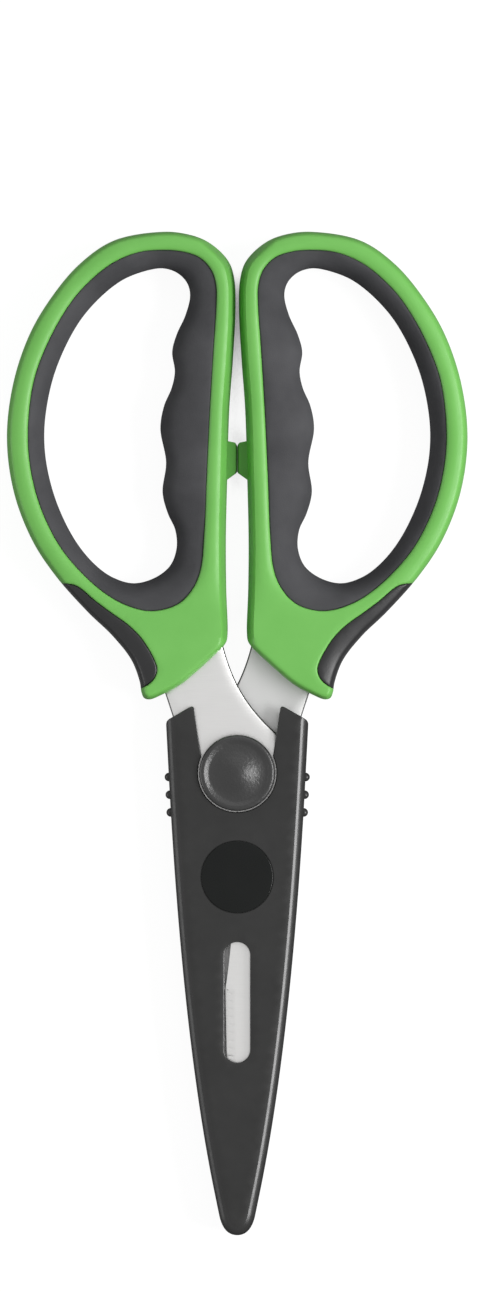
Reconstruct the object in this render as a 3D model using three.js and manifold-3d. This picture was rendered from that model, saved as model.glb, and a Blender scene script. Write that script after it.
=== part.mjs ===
// Utility shears with soft-grip finger loops and a slip-on blade sheath, closed and lying flat.
// Millimetres, +Z up. The origin is on the pivot axis, on the flat face of the rear pivot cap,
// which is level with the handles' undersides. +Y points from the pivot to the finger loops.

import * as THREE from "three";
import { mergeVertices } from "three/addons/utils/BufferGeometryUtils.js";
import Module from "manifold-3d";

const wasm = await Module();
wasm.setup();

// Handles: a hard shell moulded over the blade's tang, with soft grips moulded on to it
const HANDLE_THICKNESS = 14;
const HANDLE_EDGE_INSET = 0.9;
const HANDLE_EDGE_DEPTH = 2.6;
const BOND_GAP = 0.3;
const GRIP_RECESS = 0.4;
const GRIP_EDGE_INSET = 1.6;
const GRIP_EDGE_DEPTH = 3.2;
const GRIP_SKIN = 2.1;
const CORE_THICKNESS = 8;
const CORE_BITE = 1;

// Stop nubs that meet between the handles when the blades are shut
const STOP_THICKNESS = 2.8;
const STOP_BASE_LOW = 66.7;
const STOP_LOW_SLANT = 2.3;
const STOP_TIP_HEIGHT = 5.8;
const STOP_HIGH_SLANT = 1.1;
const STOP_ROOT_X = -4;
const STOP_GAP = 0.4;

// Blades: two alike, the rear one turned over, both on one pivot
const BLADE_THICKNESS = 2.5;
const BLADE_GAP = 0.1;
const BLADE_LENGTH = 100.5;
const BLADE_TIP_X = -1.6;
const BLADE_TIP_ROUND = 1;
const HEEL_HALF_WIDTH = 13.5;
const SPINE_BELLY_X = 10.4;
const SPINE_BELLY_Y = -60;
const SPINE_END_X = 3.0;
const SPINE_END_RISE = 4.5;
const EDGE_OVERLAP = 2.7;
const EDGE_START_Y = -49.6;
const BEVEL_WIDTH = 2.1;
const EDGE_LAND = 2.35;
const SERRATION_PITCH = 1.8;
const SERRATION_RADIUS = 0.5;
const SERRATION_DEPTH = 0.2;
const SERRATION_SIDES = 4;
const TANG_TOP = 58;
const TANG_INNER_X = -5.2;
const TANG_WIDTH = 4.6;
const TANG_HOLE_RADIUS = 1.4;
const TANG_HOLE_DROP = 5;
const TANG_CLEARANCE = 0.3;

// Pivot: a screw and nut with washers, hidden under two snap-on caps
const SCREW_RADIUS = 3;
const SCREW_CLEARANCE = 0.2;
const SCREW_HEAD_RADIUS = 5.5;
const SCREW_HEAD_THICKNESS = 1.2;
const WASHER_RADIUS = 5.3;
const SPRING_WASHER_THICKNESS = 0.5;
const SPRING_WASHER_RISE = 0.3;
const FLAT_WASHER_THICKNESS = 0.6;
const NUT_RADIUS = 5.5;
const NUT_THICKNESS = 1.6;
const NUT_SIDES = 6;
const STACK_GAP = 0.1;
const CAP_RADIUS = 8.5;
const CAP_WAIST_RADIUS = 7.9;
const CAP_CLEARANCE = 0.3;
const CAP_SEAT_GAP = 0.2;
const CAP_EDGE = 0.7;
const CAP_RIM_WIDTH = 0.3;
const CAP_DISH_WIDTH = 0.8;
const CAP_DISH_DEPTH = 0.35;
const CAP_DOME_RISE = 0.9;
const CAP_DOME_STEPS = 6;

// Sheath: two welded shells round the blades, notched to pass the pivot caps
const SHEATH_WALL = 1.6;
const SHEATH_SIDE_CLEARANCE = 0.6;
const SHEATH_FACE_CLEARANCE = 0.35;
const SHEATH_TIP_ROOM = 3.1;
const SHEATH_TIP_ROUND = 4.7;
const SHEATH_SEAM_GAP = 0.2;
const SHEATH_CHAMFER_INSET = 1.5;
const SHEATH_CHAMFER_DEPTH = 1.3;
const SHEATH_SHOULDER_Y = 11.9;
const PRONG_TIP_X = 10.6;
const PRONG_TIP_Y = 15.2;
const NOTCH_MOUTH_HALF_WIDTH = 9.9;
const NOTCH_NECK_HALF_WIDTH = 8.2;
const NOTCH_RADIUS = 9.1;
const WINDOW_WIDTH = 5.9;
const WINDOW_TOP_Y = -38.7;
const WINDOW_LENGTH = 27.6;
const BADGE_RADIUS = 8.2;
const BADGE_Y = -23.8;
const BADGE_THICKNESS = 0.5;
const BADGE_RECESS = 0.6;
const BADGE_GAP = 0.2;
const BEAD_RADIUS = 1.0;
const BEAD_LENGTH = 5;
const BEAD_PITCH = 4.05;
const BEAD_TOP_Y = -1.0;
const BEAD_COUNT = 3;

// Facets of round stretches, and how far a cutting body reaches past what it cuts
const SPLINE_STEPS = 2;
const CURVE_STEPS = 6;
const ROUND_STEPS = 32;
const BEAD_STEPS = 8;
const EDGE_STEPS = 2;
const REACH = 30;

// Levels worked out from the sizes above
const MID_Z = HANDLE_THICKNESS / 2;
const FRONT_BLADE_Z = MID_Z + BLADE_GAP / 2;
const FRONT_FACE_Z = FRONT_BLADE_Z + BLADE_THICKNESS;
const REAR_FACE_Z = 2 * MID_Z - FRONT_FACE_Z;
const POCKET_HALF_DEPTH = FRONT_FACE_Z - MID_Z + SHEATH_FACE_CLEARANCE;
const SHEATH_FRONT_Z = MID_Z + POCKET_HALF_DEPTH + SHEATH_WALL;
const SHEATH_SIDE = SHEATH_SIDE_CLEARANCE + SHEATH_WALL;

// The left handle's outline, from the top of the loop round the outside to the flare and back up
const HANDLE_OUTLINE = [
  [-17.0, 123.8], [-28.2, 121.8], [-36.2, 116.3], [-43.0, 108.1], [-47.7, 99.9], [-51.3, 88.9],
  [-52.7, 76.6], [-51.1, 64.2], [-46.9, 53.2], [-41.5, 45.0], [-34.2, 36.8], [-28.5, 31.3],
  [-24.2, 25.8], [-22.3, 20.8], [-21.9, 18.4], [-21.3, 17.1], [-20.0, 16.8], [-17.2, 17.9],
  [-12.8, 20.3], [-9.4, 23.1], [-6.4, 25.8], [-3.7, 28.4], [-2.5, 30.0], [-2.2, 32.0],
  [-2.5, 41.8], [-2.6, 53.2], [-2.3, 67.0], [-1.8, 83.4], [-1.0, 94.4], [-0.4, 105.8],
  [-0.6, 112.6], [-1.6, 116.4], [-3.7, 119.2], [-7.2, 121.8], [-11.6, 123.3],
];

// The line where the hard shell meets the soft grip, in the same direction
const GRIP_LINE = [
  [-17.0, 119.6], [-22.8, 119.0], [-29.0, 116.3], [-35.4, 110.8], [-39.5, 105.4], [-43.9, 97.1],
  [-46.7, 88.9], [-47.9, 76.6], [-46.8, 67.0], [-44.2, 58.7], [-39.7, 50.5], [-31.9, 42.3],
  [-25.6, 38.4], [-19.5, 37.0], [-13.5, 38.6], [-10.0, 42.3], [-8.3, 46.6], [-7.5, 54.6],
  [-7.0, 67.0], [-6.3, 82.0], [-5.4, 97.1], [-4.7, 107.6], [-4.8, 111.6], [-5.9, 115.0],
  [-8.5, 117.8], [-12.4, 119.2],
];

// The finger opening, with its three finger swells on the inside run
const LOOP_HOLE = [
  [-18.1, 115.5], [-24.8, 113.6], [-29.2, 110.8], [-34.6, 105.4], [-38.2, 99.9], [-41.8, 91.6],
  [-43.7, 83.4], [-44.2, 76.6], [-43.5, 69.7], [-41.2, 61.5], [-37.1, 53.2], [-32.7, 47.8],
  [-28.6, 44.8], [-23.8, 43.4], [-19.0, 44.6], [-15.4, 47.4], [-13.9, 51.4], [-14.2, 55.6],
  [-15.9, 59.4], [-17.1, 64.2], [-16.3, 71.1], [-17.6, 78.8], [-16.8, 83.9], [-15.0, 88.2],
  [-14.3, 91.9], [-14.9, 96.4], [-13.9, 100.3], [-11.9, 104.7], [-10.8, 109.2], [-11.4, 112.0],
  [-13.2, 114.1], [-15.4, 115.2],
];

// The inner edge of the soft pad on the flare, running out past the handle at both ends
const PAD_LINE = [
  [-46.0, 43.4], [-37.6, 43.1], [-35.9, 42.3], [-32.6, 39.5], [-29.0, 36.8], [-25.1, 34.0], [-22.3, 31.3],
  [-20.4, 28.6], [-18.9, 25.8], [-18.3, 23.8], [-18.7, 22.0], [-19.9, 20.5], [-24.5, 18.0],
];
const PAD_OUTSIDE = [[-46.0, 18.0]];

// The front blade's plan away from its spine and edge, as curve handles and ends in pairs:
// down the tang's outer side, round the pivot's outer side, and back up the inner side
const TANG_SHOULDER = [[-9.8, 38], [-12.2, 30], [-15.2, 22.5], [-16.6, 18.5]];
const PIVOT_SHOULDER = [[-13.6, 9.6], [-11.5, 2], [-10.4, -4], [-7.2, -10], [-3.4, -17], [-1.2, -25]];
const RICASSO_HANDLE = [-0.4, -34];
const CROTCH = [[13.3, 5], [8.9, 9.1], [1.6, 15.6], [-1.4, 23.4], [-4.4, 31], [TANG_INNER_X, 42]];

// Materials
const plastic = (color, roughness) => new THREE.MeshStandardMaterial({ color, roughness, metalness: 0 });
const steel = (color, roughness) => new THREE.MeshStandardMaterial({ color, roughness, metalness: 1 });
const GREEN_SHELL = plastic(0x5fb84a, 0.4);
const SOFT_GRIP = plastic(0x46464a, 0.8);
const SOFT_PAD = plastic(0x303034, 0.7);
const CAP_PLASTIC = plastic(0x333333, 0.45);
const SHEATH_PLASTIC = plastic(0x363636, 0.5);
const GLOSS_BADGE = plastic(0x101414, 0.2);
const BLADE_STEEL = steel(0xd0d0ce, 0.35);
const PIVOT_STEEL = steel(0xb8b8b8, 0.3);

// Outlines

const vectors = (points) => points.map(([x, y]) => new THREE.Vector2(x, y));

function spline(points, closed) {
  const curve = new THREE.CatmullRomCurve3(
    points.map(([x, y]) => new THREE.Vector3(x, y, 0)), closed, "centripetal");
  const spans = closed ? points.length : points.length - 1;
  const made = curve.getPoints(spans * SPLINE_STEPS).map((p) => new THREE.Vector2(p.x, p.y));
  return closed ? made.slice(0, -1) : made;
}

// A closed outline moved square to itself, outwards for a positive distance
function offset(outline, distance) {
  const turn = THREE.ShapeUtils.isClockWise(outline) ? -1 : 1;
  return outline.map((point, i) => {
    const after = outline[(i + 1) % outline.length];
    const along = after.clone().sub(outline.at(i - 1)).normalize();
    return new THREE.Vector2(point.x + along.y * distance * turn, point.y - along.x * distance * turn);
  });
}

function curvesThrough(shape, pairs) {
  for (let i = 0; i < pairs.length; i += 2) shape.quadraticCurveTo(...pairs[i], ...pairs[i + 1]);
}

// Solids

function toSolid(geometry) {
  const bare = geometry.index ? geometry.toNonIndexed() : geometry.clone();
  bare.deleteAttribute("normal");
  bare.deleteAttribute("uv");
  const merged = mergeVertices(bare, 1e-4);
  const triVerts = [];
  for (let i = 0; i < merged.index.count; i += 3) {
    const [a, b, c] = [0, 1, 2].map((k) => merged.index.getX(i + k));
    if (a !== b && b !== c && c !== a) triVerts.push(a, b, c);
  }
  return new wasm.Manifold(new wasm.Mesh({
    numProp: 3,
    vertProperties: merged.attributes.position.array,
    triVerts: new Uint32Array(triVerts),
  }));
}

function toGeometry(solid) {
  const { vertProperties, triVerts } = solid.getMesh();
  const geometry = new THREE.BufferGeometry();
  geometry.setAttribute("position", new THREE.BufferAttribute(vertProperties, 3));
  geometry.setIndex(new THREE.BufferAttribute(triVerts, 1));
  geometry.computeVertexNormals();
  return geometry;
}

const asShape = (outline) => (outline instanceof THREE.Shape ? outline : new THREE.Shape(outline));

// A straight-sided plate between two levels
function plate(outline, low, high) {
  const geometry = new THREE.ExtrudeGeometry(asShape(outline),
    { depth: high - low, bevelEnabled: false, curveSegments: CURVE_STEPS });
  return toSolid(geometry.translate(0, 0, low));
}

// A plate whose edges, holes included, are eased towards both faces
function easedPlate(outline, low, high, inset, depth, steps) {
  const geometry = new THREE.ExtrudeGeometry(asShape(outline), {
    depth: high - low - 2 * depth,
    bevelThickness: depth,
    bevelSize: inset,
    bevelOffset: -inset,
    bevelSegments: steps,
    curveSegments: CURVE_STEPS,
  });
  return toSolid(geometry.translate(0, 0, low + depth));
}

// A turned piece about the pivot axis, from its half-section as [radius, level] corners, anticlockwise
function turned(section) {
  return toSolid(new THREE.LatheGeometry(vectors(section), ROUND_STEPS).rotateX(Math.PI / 2));
}

// A round bar on the pivot's line or beside it
function disc(radius, low, high, x = 0, y = 0, sides = ROUND_STEPS) {
  const geometry = new THREE.CylinderGeometry(radius, radius, high - low, sides);
  return toSolid(geometry.rotateX(Math.PI / 2).translate(x, y, (low + high) / 2));
}

function box(low, high) {
  const size = new THREE.Vector3(...high).sub(new THREE.Vector3(...low));
  const middle = new THREE.Vector3(...high).add(new THREE.Vector3(...low)).multiplyScalar(0.5);
  return toSolid(new THREE.BoxGeometry(...size).translate(...middle));
}

function piece(name, solid, material) {
  const mesh = new THREE.Mesh(toGeometry(solid), material);
  mesh.name = name;
  return mesh;
}

// Blades

// The front blade in plan
function bladeShape() {
  const tangOuter = TANG_INNER_X - TANG_WIDTH;
  const shape = new THREE.Shape();
  shape.moveTo(TANG_INNER_X, TANG_TOP);
  shape.lineTo(tangOuter, TANG_TOP);
  curvesThrough(shape, TANG_SHOULDER);
  curvesThrough(shape, PIVOT_SHOULDER);
  shape.quadraticCurveTo(...RICASSO_HANDLE, -EDGE_OVERLAP, EDGE_START_Y);
  shape.lineTo(BLADE_TIP_X, -BLADE_LENGTH);
  shape.quadraticCurveTo(BLADE_TIP_X + BLADE_TIP_ROUND, -BLADE_LENGTH,
    SPINE_END_X, -BLADE_LENGTH + SPINE_END_RISE);
  shape.quadraticCurveTo(SPINE_BELLY_X, SPINE_BELLY_Y, HEEL_HALF_WIDTH, 0);
  curvesThrough(shape, CROTCH);
  return shape;
}

const tangHole = (grow) => disc(TANG_HOLE_RADIUS + grow, -REACH, REACH,
  TANG_INNER_X - TANG_WIDTH / 2, TANG_TOP - TANG_HOLE_DROP, BEAD_STEPS);

// The edge's own frame: X from its start to the tip, Y into the blade, Z to the outer face
function edgeFrame() {
  const start = new THREE.Vector3(-EDGE_OVERLAP, EDGE_START_Y, FRONT_BLADE_Z);
  const along = new THREE.Vector3(BLADE_TIP_X, -BLADE_LENGTH, FRONT_BLADE_Z).sub(start).normalize();
  const up = new THREE.Vector3(0, 0, 1);
  const frame = new THREE.Matrix4().makeBasis(along, up.clone().cross(along), up);
  return frame.setPosition(start);
}

const bevelSlope = Math.atan2(BLADE_THICKNESS - EDGE_LAND, BEVEL_WIDTH);

// The ground bevel along the cutting edge: everything above a slope from the edge to the outer face
function bevelCutter(frame) {
  const block = new THREE.BoxGeometry(2 * BLADE_LENGTH, REACH, REACH).translate(0, 0, REACH / 2);
  return toSolid(block.rotateX(bevelSlope).translate(0, 0, EDGE_LAND).applyMatrix4(frame));
}

// Fine grooves across the bevel, one row along the edge
function serrations(frame) {
  const edgeLength = Math.hypot(BLADE_TIP_X + EDGE_OVERLAP, BLADE_LENGTH + EDGE_START_Y);
  const count = Math.floor(edgeLength / SERRATION_PITCH) - 1;
  const lift = SERRATION_RADIUS - SERRATION_DEPTH;
  return Array.from({ length: count }, (_, i) => {
    const bar = new THREE.CylinderGeometry(SERRATION_RADIUS, SERRATION_RADIUS, 2 * BEVEL_WIDTH, SERRATION_SIDES);
    bar.translate(0, 0, lift).rotateX(bevelSlope).translate((i + 0.5) * SERRATION_PITCH, 0, EDGE_LAND);
    return toSolid(bar.applyMatrix4(frame));
  });
}

function blade(serrated) {
  const frame = edgeFrame();
  const working = box([-REACH, -2 * BLADE_LENGTH, -REACH], [REACH, EDGE_START_Y, REACH]);
  const solid = plate(bladeShape(), FRONT_BLADE_Z, FRONT_FACE_Z)
    .subtract(disc(SCREW_RADIUS + SCREW_CLEARANCE, -REACH, REACH))
    .subtract(tangHole(0))
    .subtract(bevelCutter(frame).intersect(working));
  if (!serrated) return solid;
  return serrations(frame).reduce((cut, groove) => cut.subtract(groove), solid);
}

// Handles

const handleLine = spline(HANDLE_OUTLINE, true);
const gripLine = spline(GRIP_LINE, true);
const holeLine = spline(LOOP_HOLE, true);
const padLine = [...spline(PAD_LINE, false), ...vectors(PAD_OUTSIDE)];

const handleBlank = easedPlate(handleLine, 0, HANDLE_THICKNESS,
  HANDLE_EDGE_INSET, HANDLE_EDGE_DEPTH, EDGE_STEPS);

// The ridge of hard shell under the grip, from the shell in to a skin's width from the opening
function core(grow) {
  const half = CORE_THICKNESS / 2 + grow;
  return plate(offset(gripLine, CORE_BITE), MID_Z - half, MID_Z + half)
    .subtract(plate(offset(holeLine, GRIP_SKIN - grow), -REACH, REACH));
}

function stopNub() {
  const tipLow = STOP_BASE_LOW + STOP_LOW_SLANT;
  const tipHigh = tipLow + STOP_TIP_HEIGHT;
  const outline = vectors([
    [STOP_ROOT_X, STOP_BASE_LOW], [STOP_ROOT_X, tipHigh + STOP_HIGH_SLANT],
    [-STOP_GAP / 2, tipHigh], [-STOP_GAP / 2, tipLow],
  ]);
  return plate(outline, MID_Z - STOP_THICKNESS / 2, MID_Z + STOP_THICKNESS / 2);
}

// The tang's room in the shell: the blade with a clearance all round
function tangSlot() {
  const outline = offset(bladeShape().getPoints(CURVE_STEPS), TANG_CLEARANCE);
  return plate(outline, FRONT_BLADE_Z - TANG_CLEARANCE, FRONT_FACE_Z + TANG_CLEARANCE)
    .subtract(tangHole(-TANG_CLEARANCE));
}

function handleShell() {
  return handleBlank
    .subtract(plate(gripLine, -REACH, REACH))
    .add(core(0))
    .add(stopNub())
    .subtract(plate(offset(padLine, BOND_GAP), -REACH, REACH))
    .subtract(tangSlot());
}

function loopGrip() {
  const around = new THREE.Shape(offset(gripLine, GRIP_EDGE_INSET + CORE_BITE));
  around.holes.push(new THREE.Path(holeLine));
  return easedPlate(around, GRIP_RECESS, HANDLE_THICKNESS - GRIP_RECESS,
    GRIP_EDGE_INSET, GRIP_EDGE_DEPTH, EDGE_STEPS)
    .intersect(plate(offset(gripLine, -BOND_GAP), -REACH, REACH))
    .subtract(core(BOND_GAP));
}

const flarePad = () => handleBlank.intersect(plate(padLine, -REACH, REACH));

// One half of the shears; the rear half is the same half turned over about its length
function half(side, bladeName, serrated) {
  const group = new THREE.Group();
  group.add(piece(bladeName, blade(serrated), BLADE_STEEL));
  group.add(piece(`${side}_handle_shell`, handleShell(), GREEN_SHELL));
  group.add(piece(`${side}_loop_grip`, loopGrip(), SOFT_GRIP));
  group.add(piece(`${side}_flare_pad`, flarePad(), SOFT_PAD));
  return group;
}

function turnedOver(group) {
  group.rotation.y = Math.PI;
  group.position.z = 2 * MID_Z;
  return group;
}

// Pivot

const bore = SCREW_RADIUS + SCREW_CLEARANCE;
const springLow = FRONT_FACE_Z + STACK_GAP;
const headLow = springLow + SPRING_WASHER_THICKNESS + SPRING_WASHER_RISE + STACK_GAP;
const headTop = headLow + SCREW_HEAD_THICKNESS;
const washerTop = REAR_FACE_Z - STACK_GAP;
const nutTop = washerTop - FLAT_WASHER_THICKNESS - STACK_GAP;
const nutLow = nutTop - NUT_THICKNESS;
const cavityRadius = Math.max(SCREW_HEAD_RADIUS, NUT_RADIUS, WASHER_RADIUS) + CAP_CLEARANCE;

function pivotScrew() {
  return turned([
    [0, nutLow], [SCREW_RADIUS, nutLow], [SCREW_RADIUS, headLow], [SCREW_HEAD_RADIUS, headLow],
    [SCREW_HEAD_RADIUS, headTop], [0, headTop],
  ]);
}

function springWasher() {
  const inner = springLow + SPRING_WASHER_RISE;
  return turned([
    [WASHER_RADIUS, springLow], [WASHER_RADIUS, springLow + SPRING_WASHER_THICKNESS],
    [bore, inner + SPRING_WASHER_THICKNESS], [bore, inner], [WASHER_RADIUS, springLow],
  ]);
}

const flatWasher = () => disc(WASHER_RADIUS, washerTop - FLAT_WASHER_THICKNESS, washerTop)
  .subtract(disc(bore, -REACH, REACH));

const pivotNut = () => disc(NUT_RADIUS, nutLow, nutTop, 0, 0, NUT_SIDES).subtract(disc(bore, -REACH, REACH));

// A cap's waist clears the sheath's prongs, which pass under its head
const waistTop = SHEATH_FRONT_Z + CAP_CLEARANCE;
const waistFlare = CAP_RADIUS - CAP_WAIST_RADIUS;

// The front cap's face from its rim in to the middle: a narrow dish round a low dome
function domeLine(rim) {
  const dishRadius = CAP_RADIUS - CAP_EDGE - CAP_RIM_WIDTH - CAP_DISH_WIDTH;
  const dish = rim - CAP_DISH_DEPTH;
  const rise = HANDLE_THICKNESS - dish;
  return Array.from({ length: CAP_DOME_STEPS + 1 }, (_, i) => {
    const share = 1 - i / CAP_DOME_STEPS;
    return [dishRadius * share, dish + rise * (1 - share ** 2)];
  });
}

function frontCap() {
  const rim = HANDLE_THICKNESS - CAP_DOME_RISE;
  const seat = FRONT_FACE_Z + CAP_SEAT_GAP;
  const roof = headTop + CAP_CLEARANCE;
  return turned([
    [cavityRadius, seat], [CAP_WAIST_RADIUS, seat], [CAP_WAIST_RADIUS, waistTop],
    [CAP_RADIUS, waistTop + waistFlare], [CAP_RADIUS, rim - CAP_EDGE],
    [CAP_RADIUS - CAP_EDGE, rim], [CAP_RADIUS - CAP_EDGE - CAP_RIM_WIDTH, rim],
    ...domeLine(rim), [0, roof], [cavityRadius, roof], [cavityRadius, seat],
  ]);
}

function rearCap() {
  const seat = REAR_FACE_Z - CAP_SEAT_GAP;
  const roof = nutLow - CAP_CLEARANCE;
  const waistLow = HANDLE_THICKNESS - waistTop;
  return turned([
    [0, roof], [0, 0], [CAP_RADIUS - CAP_EDGE, 0], [CAP_RADIUS, CAP_EDGE],
    [CAP_RADIUS, waistLow - waistFlare], [CAP_WAIST_RADIUS, waistLow],
    [CAP_WAIST_RADIUS, seat], [cavityRadius, seat], [cavityRadius, roof], [0, roof],
  ]);
}

function pivot() {
  const group = new THREE.Group();
  group.add(piece("pivot_screw", pivotScrew(), PIVOT_STEEL));
  group.add(piece("spring_washer", springWasher(), PIVOT_STEEL));
  group.add(piece("flat_washer", flatWasher(), PIVOT_STEEL));
  group.add(piece("pivot_nut", pivotNut(), PIVOT_STEEL));
  group.add(piece("front_pivot_cap", frontCap(), CAP_PLASTIC));
  group.add(piece("rear_pivot_cap", rearCap(), CAP_PLASTIC));
  return group;
}

// Sheath

const sheathTipY = -BLADE_LENGTH - SHEATH_TIP_ROOM - SHEATH_WALL;
const sideSlope = (HEEL_HALF_WIDTH - SPINE_BELLY_X) / -SPINE_BELLY_Y;

// The sheath's outline at a distance out from the blades' spines, topped by the prongs or left open
function sheathShape(sideways, tipY, open) {
  const endX = SPINE_END_X + sideways;
  const endY = -BLADE_LENGTH + SPINE_END_RISE;
  const heelX = HEEL_HALF_WIDTH + sideways;
  const bellyX = SPINE_BELLY_X + sideways;
  const topY = open ? REACH : SHEATH_SHOULDER_Y;
  const topX = heelX + sideSlope * topY;
  const taper = (SPINE_BELLY_X - SPINE_END_X) / (SPINE_BELLY_Y - endY);
  const roundY = tipY + SHEATH_TIP_ROUND;
  const roundX = endX - taper * (endY - roundY);
  const tipX = endX - taper * (endY - tipY);
  const shape = new THREE.Shape();
  shape.moveTo(topX, topY);
  if (!open) {
    shape.lineTo(PRONG_TIP_X, PRONG_TIP_Y);
    shape.lineTo(-PRONG_TIP_X, PRONG_TIP_Y);
  }
  shape.lineTo(-topX, topY);
  shape.lineTo(-heelX, 0);
  shape.quadraticCurveTo(-bellyX, SPINE_BELLY_Y, -endX, endY);
  shape.lineTo(-roundX, roundY);
  shape.quadraticCurveTo(-tipX, tipY, 0, tipY);
  shape.quadraticCurveTo(tipX, tipY, roundX, roundY);
  shape.lineTo(endX, endY);
  shape.quadraticCurveTo(bellyX, SPINE_BELLY_Y, heelX, 0);
  return shape;
}

// The notch that lets the prongs pass the pivot caps: tapered sides on a round seat
function notch() {
  const neckY = Math.sqrt(NOTCH_RADIUS ** 2 - NOTCH_NECK_HALF_WIDTH ** 2);
  const neckAngle = Math.atan2(neckY, NOTCH_NECK_HALF_WIDTH);
  const shape = new THREE.Shape();
  shape.moveTo(-NOTCH_MOUTH_HALF_WIDTH, REACH);
  shape.lineTo(-NOTCH_MOUTH_HALF_WIDTH, PRONG_TIP_Y);
  shape.absarc(0, 0, NOTCH_RADIUS, Math.PI - neckAngle, 2 * Math.PI + neckAngle, false);
  shape.lineTo(NOTCH_MOUTH_HALF_WIDTH, PRONG_TIP_Y);
  shape.lineTo(NOTCH_MOUTH_HALF_WIDTH, REACH);
  return plate(new THREE.Shape(shape.getPoints(ROUND_STEPS / 2)), -REACH, REACH);
}

// One bead on the sheath's edge, upright across the seam
function bead(side, index) {
  const y = BEAD_TOP_Y - index * BEAD_PITCH;
  const x = side * (HEEL_HALF_WIDTH + SHEATH_SIDE + sideSlope * y);
  const body = new THREE.CapsuleGeometry(BEAD_RADIUS, BEAD_LENGTH - 2 * BEAD_RADIUS, 3, BEAD_STEPS);
  return toSolid(body.rotateX(Math.PI / 2).translate(x, y, MID_Z));
}

// The whole sheath before it is split: outer body with its beads, less the blades' pocket and the notch
function sheathBody() {
  const outer = sheathShape(SHEATH_SIDE, sheathTipY, false);
  const pocket = sheathShape(SHEATH_SIDE_CLEARANCE, sheathTipY + SHEATH_WALL, true);
  let solid = easedPlate(outer, 2 * MID_Z - SHEATH_FRONT_Z, SHEATH_FRONT_Z,
    SHEATH_CHAMFER_INSET, SHEATH_CHAMFER_DEPTH, EDGE_STEPS);
  for (const side of [-1, 1]) {
    for (let i = 0; i < BEAD_COUNT; i += 1) solid = solid.add(bead(side, i));
  }
  return solid
    .subtract(plate(pocket, MID_Z - POCKET_HALF_DEPTH, MID_Z + POCKET_HALF_DEPTH))
    .subtract(notch());
}

function windowSlot() {
  const radius = WINDOW_WIDTH / 2;
  const shape = new THREE.Shape();
  shape.absarc(0, WINDOW_TOP_Y - radius, radius, 0, Math.PI, false);
  shape.absarc(0, WINDOW_TOP_Y - WINDOW_LENGTH + radius, radius, Math.PI, 2 * Math.PI, false);
  return plate(shape, MID_Z, REACH);
}

function sheath() {
  const body = sheathBody();
  const span = 2 * BLADE_LENGTH;
  const above = box([-span, -span, MID_Z + SHEATH_SEAM_GAP / 2], [span, span, REACH]);
  const below = box([-span, -span, -REACH], [span, span, MID_Z - SHEATH_SEAM_GAP / 2]);
  const recess = disc(BADGE_RADIUS + BADGE_GAP, SHEATH_FRONT_Z - BADGE_RECESS, REACH, 0, BADGE_Y);
  const front = body.intersect(above).subtract(windowSlot()).subtract(recess);
  const badgeLow = SHEATH_FRONT_Z - BADGE_RECESS + STACK_GAP;
  const group = new THREE.Group();
  group.add(piece("sheath_front_shell", front, SHEATH_PLASTIC));
  group.add(piece("sheath_rear_shell", body.intersect(below), SHEATH_PLASTIC));
  group.add(piece("sheath_badge",
    disc(BADGE_RADIUS, badgeLow, badgeLow + BADGE_THICKNESS, 0, BADGE_Y), GLOSS_BADGE));
  return group;
}

const shears = new THREE.Group();
shears.add(half("left", "front_blade", true));
shears.add(turnedOver(half("right", "rear_blade", false)));
shears.add(pivot());
shears.add(sheath());

export default shears;
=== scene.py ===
"""Looks of the utility shears with sheath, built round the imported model.

Plans are in millimetres, meshes in metres.
"""

import math

import bmesh
import bpy
import numpy as np
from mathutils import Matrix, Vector
from mathutils.geometry import delaunay_2d_cdt


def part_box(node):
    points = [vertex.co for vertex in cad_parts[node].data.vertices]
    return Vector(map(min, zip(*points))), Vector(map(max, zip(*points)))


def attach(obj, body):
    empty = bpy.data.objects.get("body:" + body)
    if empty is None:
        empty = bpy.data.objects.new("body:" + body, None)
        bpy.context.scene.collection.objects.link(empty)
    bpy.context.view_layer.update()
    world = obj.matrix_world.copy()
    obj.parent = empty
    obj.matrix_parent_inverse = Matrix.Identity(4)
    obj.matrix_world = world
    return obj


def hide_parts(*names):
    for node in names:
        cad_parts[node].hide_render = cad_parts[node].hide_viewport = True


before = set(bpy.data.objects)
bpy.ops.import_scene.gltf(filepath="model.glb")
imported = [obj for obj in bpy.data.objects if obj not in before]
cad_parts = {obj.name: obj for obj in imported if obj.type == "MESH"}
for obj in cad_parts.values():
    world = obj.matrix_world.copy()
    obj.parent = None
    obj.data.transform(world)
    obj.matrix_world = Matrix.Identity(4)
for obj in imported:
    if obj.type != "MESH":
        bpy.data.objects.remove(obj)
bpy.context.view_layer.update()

MM = 0.001


def level(node, corner):
    """The lower (0) or upper (1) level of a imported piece, in millimetres."""
    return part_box(node)[corner].z / MM


HANDLE_LOW = level("left_handle_shell", 0)
HANDLE_TOP = level("left_handle_shell", 1)
MID = (HANDLE_LOW + HANDLE_TOP) / 2
FRONT_BLADE_LOW = level("front_blade", 0)
FRONT_BLADE_TOP = level("front_blade", 1)
SHEATH_SEAM = level("sheath_front_shell", 0)
SHEATH_TOP = level("sheath_front_shell", 1)
SHEATH_WALL = 1.6
POCKET_TOP = SHEATH_TOP - SHEATH_WALL
HALF = (HANDLE_TOP - HANDLE_LOW) / 2

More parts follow.
